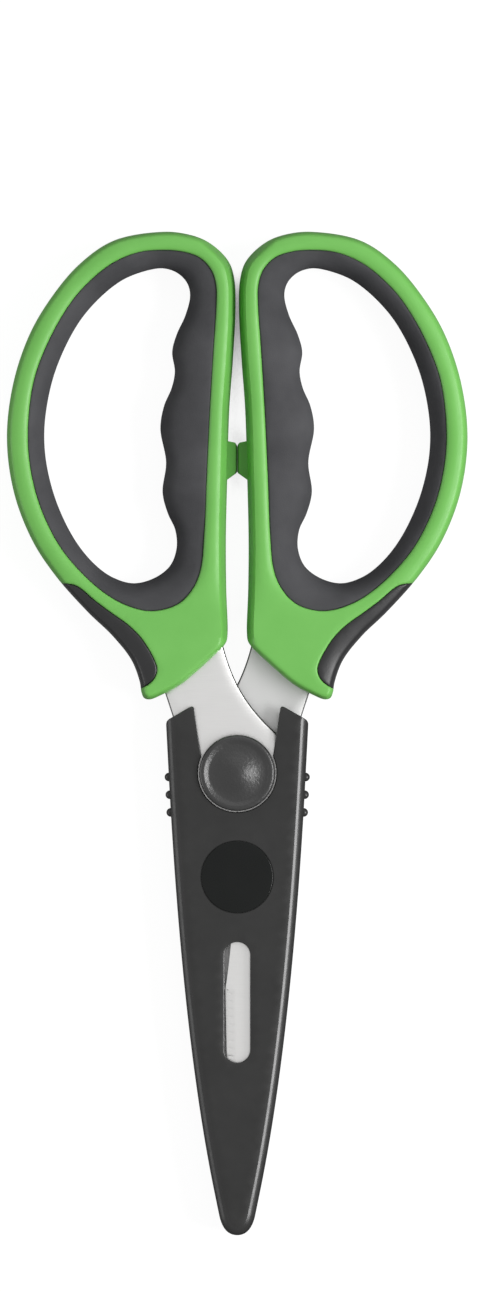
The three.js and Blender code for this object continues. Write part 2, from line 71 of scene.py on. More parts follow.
# Plan outlines of the left half, in millimetres from the pivot
HANDLE_OUTLINE = [
    (-17.0, 123.8), (-28.2, 121.8), (-36.2, 116.3), (-43.0, 108.1), (-47.7, 99.9), (-51.3, 88.9),
    (-52.7, 76.6), (-51.1, 64.2), (-46.9, 53.2), (-41.5, 45.0), (-34.2, 36.8), (-28.5, 31.3),
    (-24.2, 25.8), (-22.3, 20.8), (-21.9, 18.4), (-21.3, 17.1), (-20.0, 16.8), (-17.2, 17.9),
    (-12.8, 20.3), (-9.4, 23.1), (-6.4, 25.8), (-3.7, 28.4), (-2.5, 30.0), (-2.2, 32.0),
    (-2.5, 41.8), (-2.6, 53.2), (-2.3, 67.0), (-1.8, 83.4), (-1.0, 94.4), (-0.4, 105.8),
    (-0.6, 112.6), (-1.6, 116.4), (-3.7, 119.2), (-7.2, 121.8), (-11.6, 123.3),
]
GRIP_LINE = [
    (-17.0, 119.6), (-22.8, 119.0), (-29.0, 116.3), (-35.4, 110.8), (-39.5, 105.4), (-43.9, 97.1),
    (-46.7, 88.9), (-47.9, 76.6), (-46.8, 67.0), (-44.2, 58.7), (-39.7, 50.5), (-31.9, 42.3),
    (-25.6, 38.4), (-19.5, 37.0), (-13.5, 38.6), (-10.0, 42.3), (-8.3, 46.6), (-7.5, 54.6),
    (-7.0, 67.0), (-6.3, 82.0), (-5.4, 97.1), (-4.7, 107.6), (-4.8, 111.6), (-5.9, 115.0),
    (-8.5, 117.8), (-12.4, 119.2),
]
LOOP_HOLE = [
    (-18.1, 115.5), (-24.8, 113.6), (-29.2, 110.8), (-34.6, 105.4), (-38.2, 99.9), (-41.8, 91.6),
    (-43.7, 83.4), (-44.2, 76.6), (-43.5, 69.7), (-41.2, 61.5), (-37.1, 53.2), (-32.7, 47.8),
    (-28.6, 44.8), (-23.8, 43.4), (-19.0, 44.6), (-15.4, 47.4), (-13.9, 51.4), (-14.2, 55.6),
    (-15.9, 59.4), (-17.1, 64.2), (-16.3, 71.1), (-17.6, 78.8), (-16.8, 83.9), (-15.0, 88.2),
    (-14.3, 91.9), (-14.9, 96.4), (-13.9, 100.3), (-11.9, 104.7), (-10.8, 109.2), (-11.4, 112.0),
    (-13.2, 114.1), (-15.4, 115.2),
]
PAD_LINE = [
    (-46.0, 43.4), (-37.6, 43.1), (-35.9, 42.3), (-32.6, 39.5), (-29.0, 36.8), (-25.1, 34.0),
    (-22.3, 31.3), (-20.4, 28.6), (-18.9, 25.8), (-18.3, 23.8), (-18.7, 22.0), (-19.9, 20.5),
    (-24.5, 18.0),
]

# Blade plan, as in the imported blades
BLADE_LENGTH = 100.5
BLADE_TIP_X = -1.6
HEEL_HALF_WIDTH = 13.5
SPINE_BELLY = (10.4, -60.0)
SPINE_END_X = 3.0
SPINE_END_RISE = 4.5
EDGE_START = (-2.7, -49.6)
BEVEL_WIDTH = 2.1
EDGE_LAND = 2.35
EDGE_LEAST = 0.08
SERRATION_PITCH = 1.8
SERRATION_WIDTH = 0.8
SERRATION_DEPTH = 0.10
SERRATION_REACH = 1.7
SERRATION_FADE = 0.5
SERRATION_START = 0.4
SERRATION_STOP = 4
CROTCH_ROLL_WIDTH = 2.6
CROTCH_ROLL_DEPTH = 0.36
SCREW_HOLE = 3.2
BLADE_EASE = 0.3
BLADE_EASE_SLOPE = 0.9
BLADE_EASE_FROM_Y = 4

# Sheath plan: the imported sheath's, with a tip 0.6 mm longer and a notch 0.1 mm tighter
SHEATH_SIDE = 2.2
SHEATH_TIP_Y = -105.8
SHEATH_TIP_ROUND = 4.7
SHOULDER_Y = 11.9
PRONG_TIP = (10.6, 15.2)
NOTCH_MOUTH = 9.9
NOTCH_NECK = 8.2
NOTCH_RADIUS = 9.0
WINDOW_WIDTH = 5.9
WINDOW_TOP_Y = -38.7
WINDOW_LENGTH = 27.6
WINDOW_ROUND = 0.3
BADGE_RADIUS = 8.2
BADGE_GAP = 0.2
BADGE_Y = -23.8
BADGE_RECESS = 0.6
BADGE_ROUND = 0.2
BADGE_DROP = 0.15
SHEATH_CORNER = 0.9
SHEATH_END_ROUND = 0.22
CHAMFER_WIDTH = 1.2
CHAMFER_SLOPE = 0.5
CHAMFER_CURVE = 0.35
POLISHED_WIDTH = 0.6
POLISHED_DROP = 0.26
FACE_EDGE = CHAMFER_WIDTH + POLISHED_WIDTH

# Easing of the handles: widths in the plan and drops below the face
HANDLE_ROUND = 1.2
HANDLE_DROP = 2.6
SLOT_ROUND_DROP = 0.3
SLOT_WALL_WIDTH = 1.35
SLOT_WALL_DROP = 4.6
CROWN_WIDTH = 4.0
CROWN_DROP = 1.0
SLOT_CROWN_DROP = 1.5
FLARE_CROWN = 0.15
SEAM_CROWN_WIDTH = 2.4
SEAM_CROWN_DROP = 0.65
PAD_SINK = 0.2
PAD_CROWN_WIDTH = 5.0
PAD_CROWN_DROP = 1.3
PAD_ROUND = 1.2
PAD_DROP = 2.6
SEAM_ROUND = 0.45
SHELL_SEAM_ROUND = 0.45
SHELL_SEAM_DROP = 0.3
ARC_ROLL = 4.6
ARC_ROLL_DROP = 4.4
ARC_EDGE_DROP = 1.1
STRIP_ROLL = 9.0
STRIP_ROLL_DROP = 3.5
STRIP_EDGE_DROP = 2.6
ARC_EDGE_ROUND = 2.4
STRIP_EDGE_ROUND = 3.0
GRIP_SINK = 0.7

# Where the easing of the handles changes: a start in the plan and the width of the blend
BAND_Y, BAND_BLEND = 34, 14
SLOT_X, SLOT_BLEND_X = -9, 5
SLOT_Y, SLOT_BLEND_Y = 29, 3
STRIP_X, STRIP_BLEND = -26, 8

# Stop nub
NUB_OUTLINE = [(-3.4, 66.3), (-3.4, 76.2), (-0.45, 75.6), (-0.006, 74.9), (-0.006, 68.75)]
NUB_HALF = 1.4
NUB_GROOVE_X = -0.36
NUB_GROOVE_WIDTH = 0.3
NUB_GROOVE_DEPTH = 1.1
NUB_ROUND = 0.3
NUB_DROP = 0.2

# Fineness of the meshes
CURVE_POINTS = 24
CORNER_POINTS = 6
CORNER_SHARE = 0.45
BATCH = 2000
ROW_SLACK = 0.985
ROW_CLEAR = 0.012
GRID_CLEAR = 0.35
GRID_ROW = 0.87
GRID_GAP = 0.45
LEAST_STEP = 0.12
WELD = 1e-7
TURN_STEPS = 96


# Curves

def spline(points, closed, step=0.5):
    """Evenly spaced points on the centripetal curve through a few chosen ones."""
    p = np.array(points, float)
    n = len(p)
    if closed:
        p = np.vstack([p[-1], p, p[0], p[1]])
        spans = n
    else:
        p = np.vstack([2 * p[0] - p[1], p, 2 * p[-1] - p[-2]])
        spans = n - 1
    out = []
    for i in range(spans):
        p0, p1, p2, p3 = p[i:i + 4]
        t1 = np.linalg.norm(p1 - p0) ** 0.5
        t2 = t1 + np.linalg.norm(p2 - p1) ** 0.5
        t3 = t2 + np.linalg.norm(p3 - p2) ** 0.5
        for t in np.linspace(t1, t2, CURVE_POINTS, endpoint=False):
            a1 = (t1 - t) / t1 * p0 + t / t1 * p1
            a2 = (t2 - t) / (t2 - t1) * p1 + (t - t1) / (t2 - t1) * p2
            a3 = (t3 - t) / (t3 - t2) * p2 + (t - t2) / (t3 - t2) * p3
            b1 = (t2 - t) / t2 * a1 + t / t2 * a2
            b2 = (t3 - t) / (t3 - t1) * a2 + (t - t1) / (t3 - t1) * a3
            out.append((t2 - t) / (t2 - t1) * b1 + (t - t1) / (t2 - t1) * b2)
    if not closed:
        out.append(p[-2])
    return even(np.array(out), closed, step)


def even(line, closed, step):
    """A polyline with its points set evenly along it."""
    if closed:
        line = np.vstack([line, line[:1]])
    run = np.concatenate([[0], np.cumsum(np.linalg.norm(np.diff(line, axis=0), axis=1))])
    count = max(3, int(round(run[-1] / step)))
    at = np.linspace(0, run[-1], count + 1)
    made = np.stack([np.interp(at, run, line[:, k]) for k in (0, 1)], axis=1)
    return made[:-1] if closed else made


def bend(start, handle, end, count=CURVE_POINTS):
    """Points of a quadratic curve, without its start."""
    t = np.linspace(0, 1, count + 1)[1:, None]
    start, handle, end = (np.array(q, float) for q in (start, handle, end))
    return (1 - t) ** 2 * start + 2 * t * (1 - t) * handle + t ** 2 * end


def arc(centre, radius, start, end, count):
    """Points of a round arc between two angles in degrees."""
    a = np.radians(np.linspace(start, end, count + 1))
    return np.stack([centre[0] + radius * np.cos(a), centre[1] + radius * np.sin(a)], axis=1)


def mirrored(line):
    """The same line on the other side of the centre, still running the same way round."""
    return (line * np.array([-1.0, 1.0]))[::-1]


def eased_corners(line, radius, corners):
    """A closed polyline with the named corner points rounded off."""
    made = []
    n = len(line)
    for i, p in enumerate(line):
        if i not in corners:
            made.append(p)
            continue
        before = line[i - 1] - p
        after = line[(i + 1) % n] - p
        b = p + before / np.linalg.norm(before) * min(radius, np.linalg.norm(before) * CORNER_SHARE)
        a = p + after / np.linalg.norm(after) * min(radius, np.linalg.norm(after) * CORNER_SHARE)
        made.append(b)
        made.extend(bend(b, p, a, CORNER_POINTS))
    return np.array(made)


# Plan geometry

def distance(points, line, closed):
    """Each point's distance to a polyline."""
    a = line if closed else line[:-1]
    b = np.roll(line, -1, axis=0) if closed else line[1:]
    ab = b - a
    square = np.maximum((ab ** 2).sum(1), 1e-18)
    found = np.empty(len(points))
    for lo in range(0, len(points), BATCH):
        ap = points[lo:lo + BATCH, None, :] - a[None]
        t = np.clip((ap * ab[None]).sum(2) / square[None], 0, 1)
        gap = ap - t[..., None] * ab[None]
        found[lo:lo + BATCH] = np.sqrt((gap ** 2).sum(2).min(1))
    return found


def inside(points, loop):
    """Whether each point lies in a closed loop."""
    x, y = points[:, 0][:, None], points[:, 1][:, None]
    a, b = loop, np.roll(loop, -1, axis=0)
    crosses = (a[None, :, 1] > y) != (b[None, :, 1] > y)
    rise = np.where(b[:, 1] == a[:, 1], 1e-12, b[:, 1] - a[:, 1])
    at = (b[:, 0] - a[:, 0])[None] * (y - a[None, :, 1]) / rise[None] + a[None, :, 0]
    return ((crosses & (x < at)).sum(1) % 2) == 1


def in_domain(points, outer, holes):
    """Whether each point lies in the outer loop and in none of the holes."""
    ok = inside(points, outer)
    for hole in holes:
        ok &= ~inside(points, hole)
    return ok


def side_rows(line, closed, distances):
    """Rows of points beside a polyline, on both sides."""
    along = np.roll(line, -1, 0) - np.roll(line, 1, 0) if closed else np.gradient(line, axis=0)
    along = along / np.maximum(np.linalg.norm(along, axis=1), 1e-12)[:, None]
    square = np.stack([-along[:, 1], along[:, 0]], axis=1)
    rows = []
    for d in distances:
        for way in ((1, -1) if d > 0 else (1,)):
            row = line + square * d * way
            rows.append(row[distance(row, line, closed) > d * ROW_SLACK - 1e-6] if d > 0 else row)
    return np.vstack(rows)


def round_rows(radius):
    """Distances at which a rounded edge needs rows of points."""
    return [radius * (1 - math.cos(math.radians(a))) for a in (14, 26, 38, 50, 62, 76, 90)]


def smooth(t):
    """A soft step from 0 to 1."""
    t = np.clip(t, 0, 1)
    return t * t * (3 - 2 * t)


def round_over(d, radius, drop):
    """How far a rounded edge lies below its face at a distance in from it."""
    t = np.clip(1 - d / radius, 0, 1)
    return drop * (1 - np.sqrt(np.maximum(1 - t ** 2, 0)))


def plate_mesh(name, outer, holes, top, low, rows=(), grid=1.3):
    """A closed piece between two surfaces over one plan.

    top and low give each point's level in millimetres. rows are (line, closed, distances):
    points are set at those distances beside each line, and the rest of the plan takes a grid.
    """
    loops = [outer] + list(holes)
    points = [np.vstack(loops)]
    taken = []

    def edge(q):
        return np.min([distance(q, loop, True) for loop in loops], axis=0)

    for line, closed, distances in rows:
        row = side_rows(line, closed, distances)
        row = row[in_domain(row, outer, holes)]
        row = row[edge(row) > ROW_CLEAR]
        points.append(row)
        taken.append((line, closed, max(distances)))
    lo, hi = outer.min(0), outer.max(0)
    gx, gy = np.meshgrid(np.arange(lo[0], hi[0], grid), np.arange(lo[1], hi[1], grid * GRID_ROW))
    gx[1::2] += grid / 2
    cells = np.stack([gx.ravel(), gy.ravel()], axis=1)
    cells = cells[in_domain(cells, outer, holes)]
    cells = cells[edge(cells) > GRID_CLEAR]
    for line, closed, reach in taken:
        cells = cells[distance(cells, line, closed) > reach + grid * GRID_GAP]
    points.append(cells)
    flat = np.vstack(points)
    edges = []
    start = 0
    for loop in loops:
        n = len(loop)
        edges += [(start + i, start + (i + 1) % n) for i in range(n)]
        start += n
    verts, _, faces, *_ = delaunay_2d_cdt([Vector(p) for p in flat], edges, [], 0, WELD)
    plan = np.array([(v.x, v.y) for v in verts])
    tris = np.array([f for f in faces if len(f) == 3])
    tris = tris[in_domain(plan[tris].mean(1), outer, holes)]
    used = np.unique(tris)
    remap = -np.ones(len(plan), int)
    remap[used] = np.arange(len(used))
    plan, tris = plan[used], remap[tris]
    a, b, c = plan[tris[:, 0]], plan[tris[:, 1]], plan[tris[:, 2]]
    turn = (b[:, 0] - a[:, 0]) * (c[:, 1] - a[:, 1]) - (b[:, 1] - a[:, 1]) * (c[:, 0] - a[:, 0])
    tris[turn < 0] = tris[turn < 0][:, ::-1]
    n = len(plan)
    upper = np.column_stack([plan, top(plan)])
    under = np.column_stack([plan, low(plan)])
    open_edges = {}
    for t in tris:
        for i in range(3):
            pair = (t[i], t[(i + 1) % 3])
            if (pair[1], pair[0]) in open_edges:
                del open_edges[(pair[1], pair[0])]
            else:
                open_edges[pair] = True
    walls = [(int(p), int(p + n), int(q + n), int(q)) for p, q in open_edges]
    all_faces = [tuple(map(int, t)) for t in tris]
    all_faces += [tuple(map(int, t[::-1] + n)) for t in tris]
    all_faces += walls
    return made_mesh(name, np.vstack([upper, under]) * MM, all_faces)


def made_mesh(name, verts, faces, sharp=38):
    """An object of welded, outward facing faces, smooth up to a sharp angle in degrees."""
    mesh = bpy.data.meshes.new(name)
    mesh.from_pydata([tuple(v) for v in verts], [], faces)
    bm = bmesh.new()
    bm.from_mesh(mesh)
    bmesh.ops.remove_doubles(bm, verts=bm.verts, dist=WELD)
    bmesh.ops.dissolve_degenerate(bm, edges=bm.edges, dist=WELD)
    bmesh.ops.recalc_face_normals(bm, faces=bm.faces)
    bm.to_mesh(mesh)
    bm.free()
    mesh.polygons.foreach_set("use_smooth", [True] * len(mesh.polygons))
    mesh.set_sharp_from_angle(angle=math.radians(sharp))
    obj = bpy.data.objects.new(name, mesh)
    bpy.context.scene.collection.objects.link(obj)
    return obj


def turned_over(obj, name):
    """The same piece for the rear half, turned over about the shears' length."""
    mesh = obj.data.copy()
    mesh.name = name
    co = np.empty(len(mesh.vertices) * 3)
    mesh.vertices.foreach_get("co", co)
    co = co.reshape(-1, 3) * np.array([-1, 1, -1]) + np.array([0, 0, 2 * MID * MM])
    mesh.vertices.foreach_set("co", co.ravel())
    mesh.update()
    twin = bpy.data.objects.new(name, mesh)
    bpy.context.scene.collection.objects.link(twin)
    return twin


def revolved(name, section):
    """A turned piece about the pivot axis, from (radius, level) corners in millimetres."""
    verts, faces, rings = [], [], []
    for r, z in section:
        if r < 1e-6:
            rings.append([len(verts)])
            verts.append((0, 0, z * MM))
            continue
        rings.append(list(range(len(verts), len(verts) + TURN_STEPS)))
        for k in range(TURN_STEPS):
            a = 2 * math.pi * k / TURN_STEPS
            verts.append((r * math.cos(a) * MM, r * math.sin(a) * MM, z * MM))
    for low, high in zip(rings, rings[1:]):
        for k in range(TURN_STEPS):
            below = [low[k % len(low)], low[(k + 1) % len(low)]]
            above = [high[(k + 1) % len(high)], high[k % len(high)]]
            face = list(dict.fromkeys(below + above))
            if len(face) > 2:
                faces.append(tuple(face))
    return made_mesh(name, verts, faces, 30)


# Materials

NOISE_LOW = 0.3
NOISE_HIGH = 0.7
DRIFT_SCALE = 90
PATCH_SCALE = 420
GRAIN_STRENGTH = 0.35
LINE_SCALE = 60
LINE_STRETCH = (4, 160, 4)
LINE_STRENGTH = 0.05
LINE_DEPTH = 0.00002


def material(name, colour, roughness, metallic=0.0):
    """A plain material: (material, nodes, links, its shader)."""
    mat = bpy.data.materials.new(name)
    mat.use_nodes = True
    shader = mat.node_tree.nodes["Principled BSDF"]
    shader.inputs["Base Color"].default_value = (*colour, 1)
    shader.inputs["Roughness"].default_value = roughness
    shader.inputs["Metallic"].default_value = metallic
    return mat, mat.node_tree.nodes, mat.node_tree.links, shader


def noise(nodes, links, scale, detail=3.0, stretch=None):
    """A noise in object space, with the scale in features per metre."""
    place = nodes.new("ShaderNodeTexCoord")
    made = nodes.new("ShaderNodeTexNoise")
    made.inputs["Scale"].default_value = scale
    made.inputs["Detail"].default_value = detail
    if stretch:
        mapping = nodes.new("ShaderNodeMapping")
        mapping.inputs["Scale"].default_value = stretch
        links.new(place.outputs["Object"], mapping.inputs["Vector"])
        links.new(mapping.outputs["Vector"], made.inputs["Vector"])
    else:
        links.new(place.outputs["Object"], made.inputs["Vector"])
    return made.outputs["Fac"]


def ramp(nodes, links, source, low, high):
    """A noise spread over two colours."""
    made = nodes.new("ShaderNodeValToRGB")
    made.color_ramp.elements[0].position = NOISE_LOW
    made.color_ramp.elements[0].color = (*low, 1)
    made.color_ramp.elements[1].position = NOISE_HIGH
    made.color_ramp.elements[1].color = (*high, 1)
    links.new(source, made.inputs["Fac"])
    return made.outputs["Color"]


def spread(nodes, links, source, low, high):
    """A noise spread over two numbers."""
    made = nodes.new("ShaderNodeMapRange")
    made.inputs["From Min"].default_value = NOISE_LOW
    made.inputs["From Max"].default_value = NOISE_HIGH
    made.inputs["To Min"].default_value = low
    made.inputs["To Max"].default_value = high
    links.new(source, made.inputs["Value"])
    return made.outputs["Result"]


def math_node(nodes, links, operation, first, second):
    """A math operation on two sockets, or on a socket and a number."""
    made = nodes.new("ShaderNodeMath")
    made.operation = operation
    links.new(first, made.inputs[0])
    if isinstance(second, float):
        made.inputs[1].default_value = second
    else:
        links.new(second, made.inputs[1])
    return made.outputs["Value"]


def bump(nodes, links, shader, source, strength, depth):
    """A relief on the shader from a noise, with its depth in metres."""
    made = nodes.new("ShaderNodeBump")
    made.inputs["Strength"].default_value = strength
    made.inputs["Distance"].default_value = depth
    links.new(source, made.inputs["Height"])
    links.new(made.outputs["Normal"], shader.inputs["Normal"])


def moulded(name, low, high, rough_low, rough_high, grain, grain_depth, specular=0.5):
    """Moulded plastic or rubber: a little colour drift, patchy gloss and a fine moulded grain."""
    mat, nodes, links, shader = material(name, low, rough_low)
    drift = noise(nodes, links, DRIFT_SCALE)
    patches = spread(nodes, links, noise(nodes, links, PATCH_SCALE), rough_low, rough_high)
    links.new(ramp(nodes, links, drift, low, high), shader.inputs["Base Color"])
    links.new(patches, shader.inputs["Roughness"])
    bump(nodes, links, shader, noise(nodes, links, grain, 2.0), GRAIN_STRENGTH, grain_depth)
    shader.inputs["Specular IOR Level"].default_value = specular
    return mat


def ground_steel(name, low, high, rough_low, rough_high):
    """Ground steel with fine lines across the blade."""
    mat, nodes, links, shader = material(name, low, rough_low, 1.0)
    lines = noise(nodes, links, LINE_SCALE, stretch=LINE_STRETCH)
    links.new(ramp(nodes, links, lines, low, high), shader.inputs["Base Color"])
    links.new(spread(nodes, links, lines, rough_low, rough_high), shader.inputs["Roughness"])
    bump(nodes, links, shader, lines, LINE_STRENGTH, LINE_DEPTH)
    return mat


GREEN = moulded("green_plastic", (0.156, 0.478, 0.090), (0.176, 0.512, 0.104),
                0.38, 0.46, 2600, 0.00002, 0.38)
# The nubs are the same plastic as the handles, painted darker as shade, for the shade between the
# handles' walls that they lie low in
NUB_GREEN_PAINTED_SHADE = moulded("nub_green_painted_shade", (0.106, 0.338, 0.061), (0.120, 0.362, 0.071),
                    0.42, 0.50, 2600, 0.00002, 0.2)
GRIP = moulded("soft_grip", (0.062, 0.062, 0.066), (0.086, 0.086, 0.091),
               0.60, 0.74, 3200, 0.00008, 0.06)
PAD = moulded("soft_pad", (0.012, 0.012, 0.013), (0.017, 0.017, 0.018),
              0.34, 0.42, 3000, 0.00003, 0.42)
SHEATH = moulded("sheath_plastic", (0.010, 0.010, 0.0098), (0.015, 0.015, 0.0147),
                 0.30, 0.38, 2800, 0.00002, 0.45)
CAP = moulded("cap_plastic", (0.016, 0.016, 0.016), (0.024, 0.024, 0.024),
              0.30, 0.38, 1500, 0.00024, 0.6)
SHEATH_EDGE = moulded("sheath_polished_edge", (0.012, 0.012, 0.012), (0.018, 0.018, 0.018),
                      0.22, 0.28, 2800, 0.00001, 0.5)
BADGE = moulded("badge_gloss", (0.004, 0.005, 0.0046), (0.006, 0.007, 0.0066),
                0.14, 0.20, 1500, 0.000004, 0.2)
STEEL = ground_steel("blade_steel", (0.715, 0.71, 0.702), (0.735, 0.73, 0.722), 0.28, 0.34)
# The blades' inner faces: rougher than the outer faces, and painted darker as shade
INNER_STEEL_PAINTED_SHADE = ground_steel("blade_inner_face_painted_shade", (0.55, 0.55, 0.545), (0.57, 0.57, 0.565), 0.46, 0.54)
# The blades' sheared edges: painted near-black as shade
EDGE_STEEL_PAINTED_SHADE = ground_steel("blade_sheared_edge_painted_shade", (0.10, 0.10, 0.10), (0.16, 0.16, 0.16), 0.55, 0.7)
PIVOT_STEEL = ground_steel("pivot_steel", (0.55, 0.55, 0.55), (0.66, 0.66, 0.66), 0.25, 0.4)


def dress(obj, mat, body, slot, *nodes):
    """Gives a piece its material and body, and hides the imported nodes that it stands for."""
    obj.data.materials.clear()
    obj.data.materials.append(mat)
    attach(obj, body)
    if nodes:
        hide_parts(*nodes)


# Handles

handle_line = spline(HANDLE_OUTLINE, True)
grip_line = spline(GRIP_LINE, True)
hole_line = spline(LOOP_HOLE, True)
pad_line = spline(PAD_LINE, False, 0.4)


def crossing(line, cut):
    """Where an open cut crosses a closed line: (index on line, index on cut, point), in cut order."""
    found = []
    n = len(line)
    for j in range(len(cut) - 1):
        c, d = cut[j], cut[j + 1]
        for i in range(n):
            a, b = line[i], line[(i + 1) % n]
            r, s = b - a, d - c
            den = r[0] * s[1] - r[1] * s[0]
            if abs(den) < 1e-12:
                continue
            t = ((c - a)[0] * s[1] - (c - a)[1] * s[0]) / den
            u = ((c - a)[0] * r[1] - (c - a)[1] * r[0]) / den
            if 0 <= t < 1 and 0 <= u < 1:
                found.append((i, j, a + t * r))
    return found


def split_outline(line, cut):
    """Cuts a piece off a closed outline along an open line: (what is left, the piece, the cut)."""
    (i0, j0, p0), (i1, j1, p1) = crossing(line, cut)[:2]
    inner = np.vstack([[p0], cut[j0 + 1:j1 + 1], [p1]])
    n = len(line)
    run = [k % n for k in range(i0 + 1, i1 + 1 if i1 > i0 else i1 + 1 + n)]
    cut_off = np.vstack([line[run], inner[::-1]])
    rest = [k % n for k in range(i1 + 1, i0 + 1 if i0 > i1 else i0 + 1 + n)]
    left = np.vstack([inner, line[rest]])
    return left, cut_off, inner


def thinned(loop):
    """A loop without points that lie almost on their neighbour."""
    keep = [loop[0]]
    for p in loop[1:]:
        if np.linalg.norm(p - keep[-1]) > LEAST_STEP:
            keep.append(p)
    if np.linalg.norm(keep[0] - keep[-1]) < LEAST_STEP:
        keep.pop()
    return np.array(keep)


def both_faces(height):
    """Top and underside surfaces that mirror each other about the middle plane."""
    return (lambda q: MID + height(q)), (lambda q: MID - height(q))


shell_line, pad_loop, pad_seam = split_outline(handle_line, pad_line)
shell_line, pad_loop = thinned(shell_line), thinned(pad_loop)


def crowned(d, width, drop):
    """How far a domed face falls towards an edge, at a distance in from it."""
    return drop * np.clip(1 - d / width, 0, 1) ** 2


def shell_height(q):
    """A domed band round the loop, a flatter flare and a drafted wall along the slot."""
    d = distance(q, handle_line, True)
    seam = distance(q, grip_line, True)
    band = FLARE_CROWN + (1 - FLARE_CROWN) * smooth((q[:, 1] - BAND_Y) / BAND_BLEND)
    slot = smooth((q[:, 0] - SLOT_X) / SLOT_BLEND_X) * smooth((q[:, 1] - SLOT_Y) / SLOT_BLEND_Y)
    drop = HANDLE_DROP + (SLOT_ROUND_DROP - HANDLE_DROP) * slot
    crown = CROWN_DROP + (SLOT_CROWN_DROP - CROWN_DROP) * slot
    z = HALF - band * crowned(d, CROWN_WIDTH, crown) - round_over(d, HANDLE_ROUND, drop)
    z = z - slot * SLOT_WALL_DROP * np.clip(1 - d / SLOT_WALL_WIDTH, 0, 1)
    z = z - band * crowned(seam, SEAM_CROWN_WIDTH, SEAM_CROWN_DROP)
    z = z - round_over(seam, SHELL_SEAM_ROUND, SHELL_SEAM_DROP)
    return z - round_over(distance(q, pad_seam, False), SEAM_ROUND, SEAM_ROUND)


def grip_height(q):
    """The grip rolls into the opening: tightly round the arc, in a wide sweep on the swells."""
    strip = smooth((q[:, 0] - STRIP_X) / STRIP_BLEND)
    roll = ARC_ROLL + (STRIP_ROLL - ARC_ROLL) * strip
    drop = ARC_ROLL_DROP + (STRIP_ROLL_DROP - ARC_ROLL_DROP) * strip
    edge_drop = ARC_EDGE_DROP + (STRIP_EDGE_DROP - ARC_EDGE_DROP) * strip
    edge_round = ARC_EDGE_ROUND + (STRIP_EDGE_ROUND - ARC_EDGE_ROUND) * strip
    d = distance(q, hole_line, True)
    z = HALF - GRIP_SINK - crowned(d, roll, drop) - round_over(d, edge_round, edge_drop)
    return z - round_over(distance(q, grip_line, True), SEAM_ROUND, SEAM_ROUND)


def pad_height(q):
    """The pad domes down to the outline, a little below the green face."""
    d = distance(q, handle_line, True)
    z = HALF - PAD_SINK - crowned(d, PAD_CROWN_WIDTH, PAD_CROWN_DROP)
    z = z - round_over(d, PAD_ROUND, PAD_DROP)
    return z - round_over(distance(q, pad_seam, False), SEAM_ROUND, SEAM_ROUND)


seam_rows = [0.06, 0.18, 0.45]
shell_rows = [
    (handle_line, True, round_rows(HANDLE_ROUND) + [1.6, 2.1, 2.5]),
    (grip_line, True, seam_rows + [0.7, 1.1, 1.6]),
    (pad_seam, False, seam_rows),
]
grip_rows = [
    (hole_line, True, [0.07, 0.25, 0.5, 0.85, 1.3, 1.8, 2.4, 3.2]),
    (grip_line, True, seam_rows),
]
pad_rows = [
    (handle_line, True, round_rows(PAD_ROUND) + [1.8, 2.6]),
    (pad_seam, False, seam_rows),
]
shell = plate_mesh("left_shell", shell_line, [grip_line], *both_faces(shell_height), rows=shell_rows)
grip = plate_mesh("left_grip", grip_line, [hole_line], *both_faces(grip_height), rows=grip_rows)
pad = plate_mesh("left_pad", pad_loop, [], *both_faces(pad_height), rows=pad_rows, grid=0.9)


# Stop nubs

nub_line = eased_corners(np.array(NUB_OUTLINE), NUB_ROUND, {2, 3, 4})
nub_line = even(nub_line, True, 0.25)[::-1]


def nub_height(q):
    """A thin bar with a groove down its meeting face."""
    groove = np.clip((q[:, 0] - NUB_GROOVE_X) / NUB_GROOVE_WIDTH, 0, 1)
    z = NUB_HALF - NUB_GROOVE_DEPTH * groove
    return z - round_over(distance(q, nub_line, True), NUB_ROUND, NUB_DROP)


nub_rows = [(nub_line, True, [0.05, 0.15, 0.3, 0.37])]
nub = plate_mesh("left_stop_nub", nub_line, [], *both_faces(nub_height), rows=nub_rows, grid=0.6)


# Blades

CROTCH = [((13.3, 5), (8.9, 9.1)), ((1.6, 15.6), (-1.4, 23.4)), ((-4.4, 31), (-5.2, 42))]


def blade_outline():
    """The left half's blade, from the tang down its edge to the tip and back up its spine."""
    tang = [(-5.2, 58.0), (-9.8, 58.0)]
    line = [np.array(tang, float)]
    at = tang[-1]
    curves = [((-9.8, 38), (-12.2, 30)), ((-15.2, 22.5), (-16.6, 18.5)), ((-13.6, 9.6), (-11.5, 2)),
              ((-10.4, -4), (-7.2, -10)), ((-3.4, -17), (-1.2, -25)), ((-0.4, -34), EDGE_START)]
    for handle, end in curves:
        line.append(bend(at, handle, end))
        at = end
    tip = (BLADE_TIP_X, -BLADE_LENGTH)
    line.append(np.array([tip]))
    spine_end = (SPINE_END_X, -BLADE_LENGTH + SPINE_END_RISE)
    line.append(bend(tip, (BLADE_TIP_X + 1, -BLADE_LENGTH), spine_end))
    line.append(bend(spine_end, SPINE_BELLY, (HEEL_HALF_WIDTH, 0), 40))
    at = (HEEL_HALF_WIDTH, 0)
    for handle, end in CROTCH:
        line.append(bend(at, handle, end))
        at = end
    return even(np.vstack(line), True, 0.45)


def crotch_curve():
    """The curve from the heel up to the tang, which shows between the handles."""
    line = [np.array([(HEEL_HALF_WIDTH, 0)])]
    for handle, end in CROTCH:
        line.append(bend(line[-1][-1], handle, end))
    return np.vstack(line)


blade_line = blade_outline()
crotch_line = crotch_curve()
hole = arc((0, 0), SCREW_HOLE, 0, 360, 48)[:-1]
edge_a = np.array(EDGE_START)
edge_b = np.array((BLADE_TIP_X, -BLADE_LENGTH))
edge_run = np.linalg.norm(edge_b - edge_a)
edge_along = (edge_b - edge_a) / edge_run
edge_in = np.array([-edge_along[1], edge_along[0]])


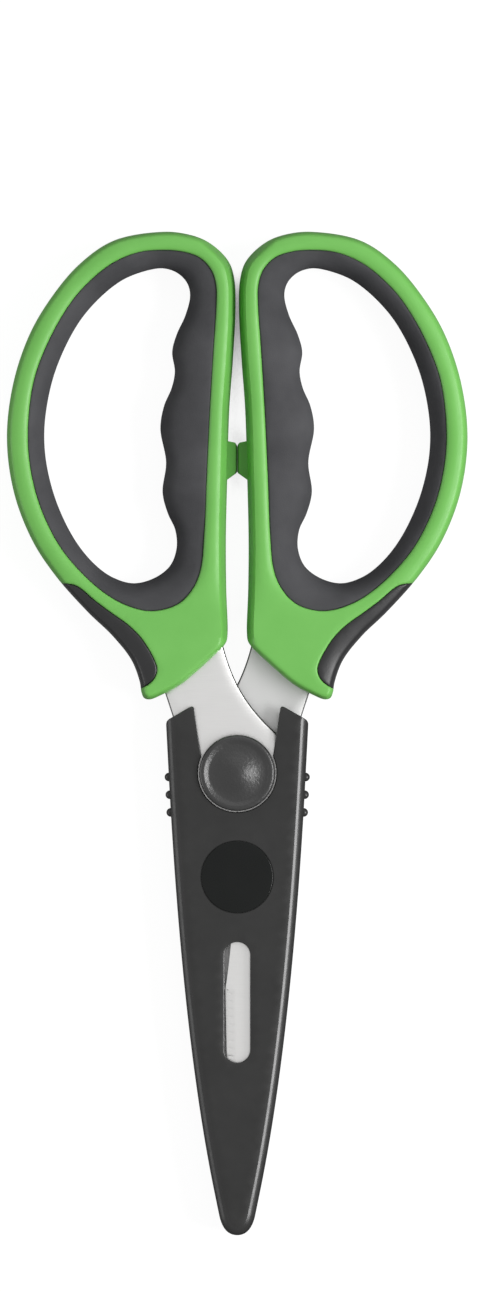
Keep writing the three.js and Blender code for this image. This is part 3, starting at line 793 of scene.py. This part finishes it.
def blade_ease(q):
    """The broken edge round the part of a blade that shows between handle and sheath."""
    ease = BLADE_EASE_SLOPE * np.clip(BLADE_EASE - distance(q, blade_line, True), 0, None)
    return ease * (q[:, 1] > BLADE_EASE_FROM_Y)


def blade_top(serrated):
    """The outer face: flat, rolled along the crotch and ground to a bevel along the edge."""
    bevel_drop = FRONT_BLADE_TOP - FRONT_BLADE_LOW - EDGE_LAND

    def top(q):
        z = FRONT_BLADE_TOP - blade_ease(q)
        z = z - crowned(distance(q, crotch_line, False), CROTCH_ROLL_WIDTH, CROTCH_ROLL_DEPTH)
        s = (q - edge_a) @ edge_along
        u = (q - edge_a) @ edge_in
        slope = FRONT_BLADE_LOW + EDGE_LAND + u * bevel_drop / BEVEL_WIDTH
        on = (s > 0) & (s < edge_run) & (u < BEVEL_WIDTH)
        if serrated:
            phase = np.abs((s / SERRATION_PITCH) % 1.0 - 0.5) * SERRATION_PITCH
            groove = np.clip(1 - phase / (SERRATION_WIDTH / 2), 0, 1) * SERRATION_DEPTH
            toothed = (s > SERRATION_START) * (s < edge_run - SERRATION_STOP)
            slope = slope - groove * toothed * smooth((SERRATION_REACH - u) / SERRATION_FADE)
        return np.where(on, np.minimum(z, np.maximum(slope, FRONT_BLADE_LOW + EDGE_LEAST)), z)
    return top


def blade_low(q):
    """The inner face, which slides on the other blade."""
    return FRONT_BLADE_LOW + blade_ease(q)


def blade(name, serrated):
    edge_line = even(np.array([edge_a, edge_b]), False, 0.15)
    rows = [
        (blade_line, True, [0.12, 0.24, BLADE_EASE - 0.01, BLADE_EASE + 0.02]),
        (edge_line, False, [0.5, 0.9, 1.3, 1.7, BEVEL_WIDTH, 2.2]),
        (crotch_line, False, [0.6, 1.0, 1.5, 2.0, CROTCH_ROLL_WIDTH]),
    ]
    return plate_mesh(name, blade_line, [hole], blade_top(serrated), blade_low, rows=rows, grid=2.2)


front_blade = blade("front_blade_ground", True)
plain_blade = blade("rear_blade_ground_pattern", False)


# The two halves

PIECES = [
    (shell, "shell", GREEN, "handle_plastic", "handle_shell"),
    (grip, "grip", GRIP, "soft_grip", "loop_grip"),
    (pad, "pad", PAD, "soft_pad", "flare_pad"),
    (nub, "stop_nub", NUB_GREEN_PAINTED_SHADE, "handle_plastic", None),
]
for piece, part, mat, slot, node in PIECES:
    twin = turned_over(piece, f"right_{part}")
    dress(twin, mat, "rear_half", slot, *([f"right_{node}"] if node else []))
    dress(piece, mat, "front_half", slot, *([f"left_{node}"] if node else []))
rear_blade = turned_over(plain_blade, "rear_blade_ground")
dress(front_blade, STEEL, "front_half", "blade_steel", "front_blade")
dress(rear_blade, STEEL, "rear_half", "blade_steel", "rear_blade")
# The sheared edges are painted near-black as shade, and the inner faces are rougher than the outer ones
# and painted darker as shade
for piece, inward in ((front_blade, -1), (rear_blade, 1)):
    piece.data.materials.append(INNER_STEEL_PAINTED_SHADE)
    piece.data.materials.append(EDGE_STEEL_PAINTED_SHADE)
    for face in piece.data.polygons:
        sheared = abs(face.normal.z) < 0.8
        face.material_index = 2 if sheared else int(face.normal.z * inward > 0.95)
bpy.data.objects.remove(plain_blade)


# Pivot

CAP_RADIUS = 8.7
CAP_WAIST = 7.9
CAP_CAVITY = 5.8
CAP_DOME_RISE = 0.9
CAP_DISH_DEPTH = 0.45
CAP_DOME_RADIUS = 6.4
CAP_RIM_ROUND = 0.8
CAP_CLEARANCE = 0.3
CAP_SHOULDER = [(0.1, 0.5), (0.0, 0.65)]
CAP_DISH_SIDE = [(7.62, 0.01), (7.5, 0.05), (7.1, 0.23), (6.75, 0.38), (6.55, 0.43)]
CAP_TOP = level("front_pivot_cap", 1)
CAP_LOW = level("front_pivot_cap", 0)
CAP_ROOF = level("pivot_screw", 1) + CAP_CLEARANCE


def cap_skirt(roof, seat, waist, up):
    """The section from the cavity's roof round the seat on the blade to the cap's full radius."""
    section = [(0, roof), (CAP_CAVITY, roof), (CAP_CAVITY, seat), (CAP_WAIST, seat), (CAP_WAIST, waist)]
    return section + [(CAP_RADIUS - inset, waist + up * rise) for inset, rise in CAP_SHOULDER]


def cap_rim(face, up):
    """The rounded rim, from the cap's side to a face at a level."""
    centre = CAP_RADIUS - CAP_RIM_ROUND
    return [
        (centre + CAP_RIM_ROUND * math.cos(a), face - up * CAP_RIM_ROUND * (1 - math.sin(a)))
        for a in np.radians(np.linspace(0, 90, 8))
    ]


def front_cap():
    """The domed front cap with a shallow dish inside its rim."""
    section = cap_skirt(CAP_ROOF, CAP_LOW, SHEATH_TOP + CAP_CLEARANCE, 1)
    rim = CAP_TOP - CAP_DOME_RISE
    section += cap_rim(rim, 1)
    dish = rim - CAP_DISH_DEPTH
    section += [(r, rim - depth) for r, depth in CAP_DISH_SIDE]
    section += [(r, dish + (CAP_TOP - dish) * (0.5 + 0.5 * math.cos(math.pi * r / CAP_DOME_RADIUS)))
                for r in np.linspace(CAP_DOME_RADIUS, 0, 20)]
    return revolved("front_cap_domed", section)


def rear_cap():
    """The flat rear cap that the shears rest on."""
    roof = level("pivot_nut", 0) - CAP_CLEARANCE
    section = cap_skirt(roof, level("rear_pivot_cap", 1), 2 * MID - SHEATH_TOP - CAP_CLEARANCE, -1)
    section += cap_rim(0.0, -1)
    section += [(r, 0.0) for r in (6.0, 4.0, 2.0, 0.0)]
    return revolved("rear_cap_flat", section)


dress(front_cap(), CAP, "pivot", "cap_plastic", "front_pivot_cap")
dress(rear_cap(), CAP, "pivot", "cap_plastic", "rear_pivot_cap")
for node in ("pivot_screw", "spring_washer", "flat_washer", "pivot_nut"):
    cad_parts[node].data.materials.clear()
    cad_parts[node].data.materials.append(PIVOT_STEEL)


# Sheath

SIDE_SLOPE = (HEEL_HALF_WIDTH - SPINE_BELLY[0]) / -SPINE_BELLY[1]


def sheath_side(sideways, tip_y):
    """The right side from the shoulder to the tip, at a distance out from the blade's spine."""
    heel = (HEEL_HALF_WIDTH + sideways, 0)
    shoulder = (heel[0] + SIDE_SLOPE * SHOULDER_Y, SHOULDER_Y)
    end = (SPINE_END_X + sideways, -BLADE_LENGTH + SPINE_END_RISE)
    line = [np.array([shoulder, heel])]
    line.append(bend(heel, (SPINE_BELLY[0] + sideways, SPINE_BELLY[1]), end, 48))
    taper = (SPINE_BELLY[0] - SPINE_END_X) / (SPINE_BELLY[1] - end[1])
    round_y = tip_y + SHEATH_TIP_ROUND
    round_start = (end[0] - taper * (end[1] - round_y), round_y)
    line.append(np.array([round_start]))
    line.append(bend(round_start, (end[0] - taper * (end[1] - tip_y), tip_y), (0, tip_y), 24))
    return np.vstack(line)


def notch_line():
    """The notch from its left mouth round the pivot to its right mouth."""
    neck = math.degrees(math.atan2(math.sqrt(NOTCH_RADIUS ** 2 - NOTCH_NECK ** 2), NOTCH_NECK))
    seat = arc((0, 0), NOTCH_RADIUS, 180 - neck, 360 + neck, 60)
    return np.vstack([[(-NOTCH_MOUTH, PRONG_TIP[1])], seat, [(NOTCH_MOUTH, PRONG_TIP[1])]])


def sheath_outline():
    """The sheath's plan, clockwise from its right shoulder."""
    right = sheath_side(SHEATH_SIDE, SHEATH_TIP_Y)
    left = mirrored(right)[1:]
    top = np.vstack([[(-PRONG_TIP[0], PRONG_TIP[1])], notch_line(), [PRONG_TIP]])
    loop = np.vstack([right, left, top])
    n_right, n_left = len(right), len(left)
    shoulders = {0, n_right + n_left - 1}
    tips = {n_right + n_left, n_right + n_left + 1, len(loop) - 2, len(loop) - 1}
    loop = eased_corners(loop, SHEATH_CORNER, shoulders | tips)
    return even(loop, True, 0.45)


sheath_line = sheath_outline()
right_side = sheath_side(SHEATH_SIDE, SHEATH_TIP_Y)
side_line = even(np.vstack([right_side, mirrored(right_side)[1:]]), False, 0.45)
window = np.vstack([
    arc((0, WINDOW_TOP_Y - WINDOW_WIDTH / 2), WINDOW_WIDTH / 2, 0, 180, 24),
    arc((0, WINDOW_TOP_Y - WINDOW_LENGTH + WINDOW_WIDTH / 2), WINDOW_WIDTH / 2, 180, 360, 24),
])
window = even(window, True, 0.4)
badge_ring = arc((0, BADGE_Y), BADGE_RADIUS + BADGE_GAP, 0, 360, 110)[:-1]


def plain_top(q):
    """The sheath's flat face, a narrow strip along its edge and the chamfer outside that."""
    d = distance(q, side_line, False)
    strip = np.clip((FACE_EDGE - d) / POLISHED_WIDTH, 0, 1) * POLISHED_DROP
    out = np.clip(CHAMFER_WIDTH - d, 0, None)
    chamfer = out * CHAMFER_SLOPE + CHAMFER_CURVE * out ** 2
    ends = round_over(distance(q, sheath_line, True), SHEATH_END_ROUND, SHEATH_END_ROUND)
    return SHEATH_TOP - strip - chamfer - ends * (d > FACE_EDGE)


def sheath_top(q):
    """The front face, with the window's rounded edge and the badge's recess."""
    z = plain_top(q) - round_over(distance(q, window, True), WINDOW_ROUND, WINDOW_ROUND)
    into = np.hypot(q[:, 0], q[:, 1] - BADGE_Y) - BADGE_RADIUS - BADGE_GAP
    return np.where(into < 0.001, SHEATH_TOP - BADGE_RECESS, z)


def sheath_low(q):
    """The welded seam along the sides and the roof of the blades' pocket."""
    d = distance(q, side_line, False)
    return np.where(d < SHEATH_WALL, SHEATH_SEAM, POCKET_TOP)


edge_rows = [0.07, 0.15, 0.24]
wall_rows = [
    0.4, 0.8, CHAMFER_WIDTH - 0.04, CHAMFER_WIDTH + 0.04,
    SHEATH_WALL - 0.02, SHEATH_WALL + 0.02, FACE_EDGE + 0.04,
]
rear_rows = [(side_line, False, wall_rows), (sheath_line, True, edge_rows)]
front_rows = rear_rows + [(window, True, edge_rows), (badge_ring, True, [0.0, 0.02])]
front_shell = plate_mesh("sheath_front", sheath_line, [window], sheath_top, sheath_low,
                         rows=front_rows, grid=1.8)
rear_pattern = plate_mesh("sheath_rear_pattern", sheath_line, [], plain_top, sheath_low,
                          rows=rear_rows, grid=1.8)
rear_shell = turned_over(rear_pattern, "sheath_rear")
bpy.data.objects.remove(rear_pattern)
dress(rear_shell, SHEATH, "sheath", "sheath_plastic", "sheath_rear_shell")
dress(front_shell, SHEATH, "sheath", "sheath_plastic", "sheath_front_shell")
# The narrow strip along the front face's edge is polished
front_shell.data.materials.append(SHEATH_EDGE)
for face in front_shell.data.polygons:
    sloped = 0.85 < face.normal.z < 0.97
    face.material_index = int(sloped and abs(face.center.z - SHEATH_TOP * MM) < POLISHED_DROP * MM)

badge_loop = arc((0, BADGE_Y), BADGE_RADIUS, 0, 360, 120)[:-1]


def badge_top(q):
    return level("sheath_badge", 1) - round_over(distance(q, badge_loop, True), BADGE_ROUND, BADGE_DROP)


def badge_low(q):
    return np.full(len(q), level("sheath_badge", 0))


badge_rows = [(badge_loop, True, [0.04, 0.1, 0.2])]
badge = plate_mesh("badge_plain", badge_loop, [], badge_top, badge_low, rows=badge_rows, grid=1.6)
dress(badge, BADGE, "sheath", "badge_plastic", "sheath_badge")


BEAD_RADIUS = 1.0
BEAD_HALF = 1.5
BEAD_COUNT = 3
BEAD_FIRST_Y = -1.0
BEAD_PITCH = 4.05


def beads(name):
    """The grip beads along both edges of the sheath, as one piece of separate capsules."""
    verts, faces = [], []
    rings, steps = 12, 24
    for side in (-1, 1):
        for i in range(BEAD_COUNT):
            y = BEAD_FIRST_Y - BEAD_PITCH * i
            x = side * (HEEL_HALF_WIDTH + SHEATH_SIDE + SIDE_SLOPE * y)
            base = len(verts)
            for r in range(rings + 1):
                a = math.pi * (r / rings - 0.5)
                z = MID + BEAD_RADIUS * math.sin(a) + (BEAD_HALF if r > rings / 2 else -BEAD_HALF)
                for k in range(steps):
                    t = 2 * math.pi * k / steps
                    ring = BEAD_RADIUS * math.cos(a)
                    verts.append(((x + ring * math.cos(t)) * MM, (y + ring * math.sin(t)) * MM, z * MM))
            for r in range(rings):
                for k in range(steps):
                    p, q = base + r * steps + k, base + r * steps + (k + 1) % steps
                    faces.append((p, q, q + steps, p + steps))
    return made_mesh(name, verts, faces, 60)


dress(beads("sheath_beads"), SHEATH, "sheath", "sheath_plastic")


# Stage, light and camera

PHOTO = (494, 1292)
PHOTO_MM_PER_PIXEL = 0.22854
PIVOT_PIXEL = (237.2, 773.0)
CAMERA_HEIGHT = 3.2
HORIZON = 0.06
GLOSSY_HORIZON = 0.8
FLOOR_WHITE = 0.94
GLOSSY_FLOOR = 0.2
FLOOR_GREY = 0.14
FLOOR_SIZE = 6
FLOOR_Z = -0.0002
SHADE_REACH = 0.008
SHADE_FROM = 0.06
SHADE_TO = 0.28
SHADE_LEAST = 0.1
ZENITH = 0.86
PANEL_START = 0.80
PANEL_FULL = 0.97
LAMP_AIM = (0, 0.01, 0)


def stage():
    """A floor that looks white and is shaded only where the part nearly shuts it in."""
    bpy.ops.mesh.primitive_plane_add(size=FLOOR_SIZE, location=(0, 0, FLOOR_Z))
    floor = bpy.context.object
    floor.name = "floor"
    mat, nodes, links, shader = material("floor_white", (FLOOR_GREY,) * 3, 0.9)
    shader.inputs["Specular IOR Level"].default_value = 0.0
    glow = nodes.new("ShaderNodeEmission")
    glow.inputs["Color"].default_value = (1, 1, 1, 1)
    path = nodes.new("ShaderNodeLightPath")
    level_of = math_node(nodes, links, "MULTIPLY", path.outputs["Is Glossy Ray"], GLOSSY_FLOOR)
    level_of = math_node(nodes, links, "MAXIMUM", path.outputs["Is Transmission Ray"], level_of)
    level_of = math_node(nodes, links, "MAXIMUM", path.outputs["Is Camera Ray"], level_of)
    level_of = math_node(nodes, links, "MULTIPLY", level_of, FLOOR_WHITE)
    shut_in = nodes.new("ShaderNodeAmbientOcclusion")
    shut_in.samples = 16
    shut_in.inputs["Distance"].default_value = SHADE_REACH
    shade = nodes.new("ShaderNodeMapRange")
    shade.interpolation_type = "SMOOTHSTEP"
    shade.inputs["From Min"].default_value = SHADE_FROM
    shade.inputs["From Max"].default_value = SHADE_TO
    shade.inputs["To Min"].default_value = SHADE_LEAST
    links.new(shut_in.outputs["AO"], shade.inputs["Value"])
    level_of = math_node(nodes, links, "MULTIPLY", level_of, shade.outputs["Result"])
    links.new(level_of, glow.inputs["Strength"])
    add = nodes.new("ShaderNodeAddShader")
    links.new(shader.outputs["BSDF"], add.inputs[0])
    links.new(glow.outputs["Emission"], add.inputs[1])
    links.new(add.outputs["Shader"], nodes["Material Output"].inputs["Surface"])
    floor.data.materials.append(mat)


def lamp(name, place, size, power):
    """A flat lamp aimed at the middle of the part."""
    data = bpy.data.lights.new(name, "AREA")
    data.shape = "RECTANGLE"
    data.size, data.size_y = size
    data.energy = power
    obj = bpy.data.objects.new(name, data)
    obj.location = place
    obj.rotation_euler = (Vector(LAMP_AIM) - Vector(place)).to_track_quat("-Z", "Y").to_euler()
    bpy.context.scene.collection.objects.link(obj)


def lights():
    """A key on the right, low fill on the left, a fill beyond the loops, a dim room bright overhead."""
    lamp("key_right", (0.74, -0.02, 0.68), (0.66, 0.44), 10.4)
    lamp("fill_left", (-0.96, -0.02, 0.28), (0.80, 0.40), 2.4)
    lamp("fill_top", (0.05, 0.85, 0.66), (1.2, 0.8), 2.0)
    world = bpy.data.worlds.new("studio")
    world.use_nodes = True
    nodes, links = world.node_tree.nodes, world.node_tree.links
    place = nodes.new("ShaderNodeTexCoord")
    split = nodes.new("ShaderNodeSeparateXYZ")
    links.new(place.outputs["Generated"], split.inputs["Vector"])
    level_of = nodes.new("ShaderNodeMapRange")
    level_of.interpolation_type = "SMOOTHSTEP"
    level_of.inputs["From Min"].default_value = PANEL_START
    level_of.inputs["From Max"].default_value = PANEL_FULL
    level_of.inputs["To Max"].default_value = ZENITH
    links.new(split.outputs["Z"], level_of.inputs["Value"])
    path = nodes.new("ShaderNodeLightPath")
    low_level = math_node(nodes, links, "MULTIPLY", path.outputs["Is Glossy Ray"], GLOSSY_HORIZON)
    low_level = math_node(nodes, links, "MAXIMUM", low_level, HORIZON)
    links.new(low_level, level_of.inputs["To Min"])
    seen = path.outputs["Is Camera Ray"]
    strength = math_node(nodes, links, "MAXIMUM", seen, level_of.outputs["Result"])
    links.new(strength, nodes["Background"].inputs["Strength"])
    nodes["Background"].inputs["Color"].default_value = (1, 1, 1, 1)
    bpy.context.scene.world = world


def camera():
    """A camera high above the pivot that frames the part as in the photo."""
    middle = ((PHOTO[0] / 2 - PIVOT_PIXEL[0]) * PHOTO_MM_PER_PIXEL * MM,
              (PIVOT_PIXEL[1] - PHOTO[1] / 2) * PHOTO_MM_PER_PIXEL * MM)
    data = bpy.data.cameras.new("photo_camera")
    data.sensor_fit = "VERTICAL"
    data.sensor_height = 36
    distance_to_face = CAMERA_HEIGHT - HANDLE_TOP * MM
    data.lens = data.sensor_height * distance_to_face / (PHOTO[1] * PHOTO_MM_PER_PIXEL * MM)
    data.clip_end = 20
    obj = bpy.data.objects.new("photo_camera", data)
    obj.location = (middle[0], middle[1], CAMERA_HEIGHT)
    bpy.context.scene.collection.objects.link(obj)
    bpy.context.scene.camera = obj


stage()
lights()
camera()
bpy.context.scene.view_settings.view_transform = "Standard"
